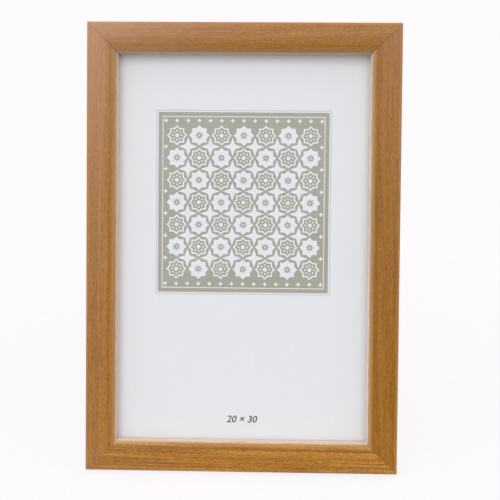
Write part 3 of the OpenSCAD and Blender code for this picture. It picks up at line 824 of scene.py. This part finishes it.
rule_tree, RULE, given = drawing_tree("ruled_rectangle", {"Width": 10.0, "Height": 10.0, "Line": 0.5})
tree = rule_tree
two_lines = maths(tree, "MULTIPLY", given["Line"], 2.0)
outer = add(tree, "GeometryNodeCurvePrimitiveQuadrilateral", {
    "Width": given["Width"], "Height": given["Height"],
})
inner = add(tree, "GeometryNodeCurvePrimitiveQuadrilateral", {
    "Width": maths(tree, "SUBTRACT", given["Width"], two_lines),
    "Height": maths(tree, "SUBTRACT", given["Height"], two_lines),
})
has_line = add(tree, "FunctionNodeCompare", {0: given["Line"], 1: 0.0}, operation="GREATER_THAN").outputs[0]
hole = add(tree, "GeometryNodeSwitch", {"Switch": has_line, "True": inner.outputs[0]}).outputs[0]
outlines = add(tree, "GeometryNodeJoinGeometry", {0: outer.outputs[0]})
tree.links.new(hole, outlines.inputs[0])
inked(tree, add(tree, "GeometryNodeFillCurve", {"Curve": outlines.outputs[0]}).outputs[0], given)

print_layer("print_panel", rule_tree, RULE, sage_ink, PANEL_FRONT,
            Width=PANEL_W, Height=PANEL_H, Line=0.0)
reach = 2 * (KEYLINE_GAP + KEYLINE)
print_layer("print_keyline", rule_tree, RULE, line_ink, PANEL_FRONT,
            Width=PANEL_W + reach, Height=PANEL_H + reach, Line=KEYLINE)
print_layer("print_border", rule_tree, RULE, paper_white, PATTERN_FRONT,
            Width=PANEL_W - 2 * BORDER_INSET, Height=PANEL_H - 2 * BORDER_INSET, Line=BORDER)

# %% [markdown]
# ## The star pattern
# Eight-pointed stars on a square grid leave a cross between every four of them, which is how tile setters
# have laid them for centuries. Each star is a ring with a small figure inside, and two figures take turns
# like the squares of a chess board. The whole pattern hangs on one number, the pitch from star to star.

# %% Helpers for the pattern
TILE_PITCH, TILE_COLUMNS, TILE_ROWS = 16.5, 7, 7
TILE_GAP = 0.7
BAND_INSET = 6.3
EIGHT_POINT_INNER = math.cos(math.pi / 4) / math.cos(math.pi / 8)

tile_tree, TILE, given = drawing_tree("star_and_cross_tiles", {
    "Pitch": 10.0, "Gap": 0.4, "Columns": 9, "Rows": 9, "Band height": 100.0,
})
tree = tile_tree
pitch = given["Pitch"]


def filled(*curves):
    """Fills outlines, the inner ones as holes."""
    together = add(tree, "GeometryNodeJoinGeometry")
    for curve in curves:
        tree.links.new(curve, together.inputs[0])
    return add(tree, "GeometryNodeFillCurve", {"Curve": together.outputs[0]}).outputs[0]


def star(points, outer_share, inner_share, less=0.0):
    """A star outline, sized in shares of the pitch."""
    outer_size = maths(tree, "SUBTRACT", maths(tree, "MULTIPLY", pitch, outer_share), less)
    return add(tree, "GeometryNodeCurveStar", {
        "Points": points, "Outer Radius": outer_size,
        "Inner Radius": maths(tree, "MULTIPLY", outer_size, inner_share),
    }).outputs["Curve"]


def dot(share):
    return add(tree, "GeometryNodeCurvePrimitiveCircle", {
        "Resolution": 16, "Radius": maths(tree, "MULTIPLY", pitch, share),
    }).outputs["Curve"]


def grid(columns, rows, across, up):
    """Points on a grid that measures across by up."""
    return add(tree, "GeometryNodeMeshGrid", {
        "Vertices X": columns, "Vertices Y": rows, "Size X": across, "Size Y": up,
    }).outputs["Mesh"]


def stamp(points, shape, chosen=True):
    return add(tree, "GeometryNodeInstanceOnPoints", {
        "Points": points, "Instance": shape, "Selection": chosen,
    }).outputs[0]


# %% Places of the stars and crosses
columns_less = maths(tree, "SUBTRACT", given["Columns"], 1.0)
rows_less = maths(tree, "SUBTRACT", given["Rows"], 1.0)
field_w = maths(tree, "MULTIPLY", columns_less, pitch)
field_h = maths(tree, "MULTIPLY", rows_less, pitch)
band_w = maths(tree, "ADD", field_w, pitch)
inner_w = maths(tree, "SUBTRACT", field_w, pitch)
inner_h = maths(tree, "SUBTRACT", field_h, pitch)
band_columns = maths(tree, "ADD", maths(tree, "MULTIPLY", given["Columns"], 2.0), 1.0)
star_places = grid(given["Columns"], given["Rows"], field_w, field_h)
cross_places = grid(columns_less, rows_less, inner_w, inner_h)
band_places = grid(band_columns, 2, band_w, given["Band height"])
side_places = grid(2, rows_less, band_w, inner_h)

cell = axes_of(tree, add(tree, "GeometryNodeInputPosition").outputs[0])
column = maths(tree, "ROUND", maths(tree, "DIVIDE", maths(tree, "ADD", cell["X"], field_w), pitch))
row = maths(tree, "ROUND", maths(tree, "DIVIDE", maths(tree, "ADD", cell["Y"], field_h), pitch))
odd = maths(tree, "MODULO", maths(tree, "ADD", column, row), 2.0)
even = maths(tree, "SUBTRACT", 1.0, odd)

# %% Figures of the pattern
BEAD_RING, BEAD = 0.2, 0.04

whole_star = star(8, 0.5, EIGHT_POINT_INNER, given["Gap"])
pierced_star = filled(whole_star, star(8, 0.2, 0.5), dot(BEAD))
ringed_star = filled(whole_star, star(8, 0.37, EIGHT_POINT_INNER))
middle = filled(dot(0.09))
bead_places = add(tree, "GeometryNodeMeshCircle", {
    "Vertices": 8, "Radius": maths(tree, "MULTIPLY", pitch, BEAD_RING),
}).outputs[0]
beads = stamp(bead_places, filled(dot(BEAD)))
cross = filled(star(4, 0.43, 0.36))
diamond = filled(star(4, 0.11, 0.5))

everything = add(tree, "GeometryNodeJoinGeometry")
for figures in (
    stamp(star_places, pierced_star, odd), stamp(star_places, ringed_star, even),
    stamp(star_places, middle, even), stamp(star_places, beads, even), stamp(cross_places, cross),
    stamp(band_places, diamond), stamp(side_places, diamond),
):
    tree.links.new(figures, everything.inputs[0])
flat_tiles = add(tree, "GeometryNodeRealizeInstances", {"Geometry": everything.outputs[0]}).outputs[0]
inked(tree, flat_tiles, given)

print_layer("print_star_pattern", tile_tree, TILE, paper_white, PATTERN_FRONT,
            Pitch=TILE_PITCH, Gap=TILE_GAP, Columns=TILE_COLUMNS, Rows=TILE_ROWS,
            Band_height=PANEL_H - 2 * BAND_INSET)

# %% [markdown]
# ## The size mark
# Under the panel such a sheet gives the picture's size. Plain slanted numbers do it. A text object is made of
# curves, so it is turned into a mesh before it is put in its place.

# %% Size in centimetres
NUMBER_SIZE, NUMBER_SLANT, NUMBER_WEIGHT = 7.2, 0.22, 0.09
NUMBER_DROP = 128

letters = bpy.data.curves.new("size_numbers", "FONT")
letters.body = "20 × 30"
letters.size = NUMBER_SIZE
letters.shear = NUMBER_SLANT
letters.offset = NUMBER_WEIGHT
letters.align_x = letters.align_y = "CENTER"
letters.extrude = INK / 2
letters.resolution_u = 4
text_object = bpy.data.objects.new("size_numbers", letters)
bpy.context.collection.objects.link(text_object)
number_mesh = plain_mesh(text_object)
number_mesh.materials.clear()
number_mesh.materials.append(dark_ink)
number_stand = Matrix.Translation(CENTRE + Vector((0, PANEL_FRONT + INK / 2, -NUMBER_DROP))) @ turn(90, "X")
piece("size_numbers", number_mesh, number_stand, "picture_print")

# %% [markdown]
# ## Hardboard
# The back board and the leg are brown hardboard: wood fibres pressed wet into a thin hard sheet. The pressed
# face is smooth and faintly waxy, with a felt of light and dark fibres in it that run every way.

# %% Hardboard shader
LAID_WAYS = (8, 52, 95, 141)
FELT_DEPTH = 0.06

hardboard = empty_material("pressed_brown_hardboard")
tree = hardboard.node_tree
place = object_place(tree)
felt = pattern(tree, place, (0.9, 0.9, 0.9), 6.0, 0.7)
sheet_normal = STANCE.to_3x3() @ Vector((0, 1, 0))
fibres = 0.0
for way in LAID_WAYS:
    laid = add(tree, "ShaderNodeVectorRotate", {
        "Vector": place, "Axis": sheet_normal, "Angle": math.radians(way),
    }, rotation_type="AXIS_ANGLE").outputs[0]
    laid = spread(tree, pattern(tree, laid, (3.5, 0.28, 0.28), 1.0), 0.62, 0.74)
    fibres = maths(tree, "MAXIMUM", fibres, laid)
damp = spread(tree, pattern(tree, place, (45, 45, 45), 3.0), 0.3, 0.7)
brown = mix(tree, damp, linear("#5d4130"), linear("#6b4c38"), "damp patches")
brown = tinted(tree, brown, (
    ("dark felt", spread(tree, felt, 0.35, 0.7, 0.0, 0.55), "#47301f"),
    ("light fibres", maths(tree, "MULTIPLY", fibres, 0.4), "#8d6b4c"),
))
shade(hardboard, add(tree, "ShaderNodeBsdfPrincipled", {
    "Base Color": brown, "Roughness": spread(tree, felt, 0.3, 0.7, 0.5, 0.64), "IOR": 1.5,
    "Specular IOR Level": 0.35, "Normal": bump(tree, felt, 0.25, FELT_DEPTH),
}))

# %% [markdown]
# ## Small metal parts
# The hinge, the rivets and the hangers are stamped steel with bright nickel on them, tumbled in a drum, which
# leaves a fine scratched lustre. The turn buttons and their screws are steel with a thin brass plate. The
# V-nails that pull the mitres together are bare strip steel, blue-grey with rolling lines.

# %% Plated steel shaders
SCRATCH_W, SCRATCH_DEPTH = 0.12, 0.02


def plated(name, tone, dull_tone, smooth, rough, scratch_mm):
    """Plated steel: a bright tone, duller where handled, with fine scratches scratch_mm long."""
    made = empty_material(name)
    tree = made.node_tree
    place = object_place(tree)
    handled = spread(tree, pattern(tree, place, (6, 6, 6), 3.0), 0.35, 0.7)
    scratches = pattern(tree, place, (scratch_mm, SCRATCH_W, SCRATCH_W), 2.0, 0.6)
    crossing = pattern(tree, place, (SCRATCH_W, SCRATCH_W, scratch_mm), 2.0, 0.6)
    marks = maths(tree, "ADD", scratches, crossing)
    roughness = maths(tree, "ADD", spread(tree, handled, 0, 1, smooth, rough),
                      spread(tree, marks, 0.7, 1.3, -0.04, 0.05))
    return shade(made, add(tree, "ShaderNodeBsdfPrincipled", {
        "Base Color": mix(tree, handled, linear(tone), linear(dull_tone)), "Metallic": 1.0,
        "Roughness": roughness, "Normal": bump(tree, marks, 0.12, SCRATCH_DEPTH),
    }))


nickel = plated("tumbled_nickel_plated_steel", "#cfccc4", "#bfbbb2", smooth=0.2, rough=0.3, scratch_mm=1.6)
brass = plated("brass_plated_steel", "#d2b26c", "#b3955a", smooth=0.22, rough=0.36, scratch_mm=2.0)
strip_steel = plated("rolled_strip_steel", "#b4b8bd", "#8f9499", smooth=0.3, rough=0.45, scratch_mm=4.0)

# %% [markdown]
# ## Finishing the CAD pieces
# These pieces already have the right shape, but a perfectly sharp edge never catches the light as a stamped
# or sawn one does. A CAD mesh is loose triangles, so each piece gets a copy with its points joined, its flats
# made whole and its edges eased by a small bevel. The copy stands in for the CAD node and moves with its
# body. The nails are also set back by a fraction, flush with the wood's back.

# %% Ease the edges
SAME_POINT = 0.001
FLAT_ANGLE, EDGE_ANGLE = math.radians(0.8), math.radians(32)
BOARD_EDGE, STAMPED_EDGE, BUTTON_EDGE, NAIL_EDGE = 0.35, 0.12, 0.15, 0.05
NAIL_SET_BACK = 0.23


def eased(node, edge_mm, material, suffix, further_back=0.0):
    """A finished copy of a CAD node whose sharp edges are rounded by edge_mm."""
    source = frame["nodes"][node]
    joined = bmesh.new()
    joined.from_mesh(source.data)
    bmesh.ops.remove_doubles(joined, verts=joined.verts, dist=SAME_POINT * MM)
    bmesh.ops.dissolve_limit(joined, angle_limit=FLAT_ANGLE, verts=joined.verts, edges=joined.edges)
    mesh = bpy.data.meshes.new(node + suffix)
    joined.to_mesh(mesh)
    joined.free()
    mesh.transform(STANCE @ Matrix.Translation((0, further_back * MM, 0)) @ STANCE.inverted())
    rough = bpy.data.objects.new(node, mesh)
    bpy.context.collection.objects.link(rough)
    bevel = rough.modifiers.new("eased_edges", "BEVEL")
    bevel.width = edge_mm * MM
    bevel.segments = 2
    bevel.limit_method = "ANGLE"
    bevel.angle_limit = EDGE_ANGLE
    bevel.harden_normals = True
    finished = plain_mesh(rough)
    finished.materials.clear()
    finished.materials.append(material)
    made = bpy.data.objects.new(node + suffix, finished)
    bpy.context.collection.objects.link(made)
    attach(made, body_of(source)[0])
    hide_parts(node)


boards = ["back_board", "easel_leg"]
stampings = ["board_hinge_leaf", "leg_hinge_leaf", "hanger_strap_top", "hanger_strap_side"]
screws = "turn_button_screws"
buttons = [node for node in frame["nodes"] if node.startswith("turn_button_") and node != screws]
for node in boards:
    eased(node, BOARD_EDGE, hardboard, "_hardboard")
for node in stampings:
    eased(node, STAMPED_EDGE, nickel, "_stamping")
for node in buttons:
    eased(node, BUTTON_EDGE, brass, "_stamping")
eased("corner_v_nails", NAIL_EDGE, strip_steel, "_flush", further_back=NAIL_SET_BACK)
print("eased:", len(boards), "boards,", len(stampings), "stampings,", len(buttons), "buttons and the nails")

# %% [markdown]
# The pin, the rivets, the rings and the screws are round, so their CAD meshes stay and only get the metal.

# %% Give the rest their metal
kept_finishes = {
    nickel: ("hinge_pin", "board_hinge_rivets", "leg_hinge_rivets", "hanger_rivets", "hanger_ring_top",
             "hanger_ring_side"),
    brass: (screws,),
}
for material, nodes in kept_finishes.items():
    for node in nodes:
        frame["nodes"][node].data.materials.clear()
        frame["nodes"][node].data.materials.append(material)
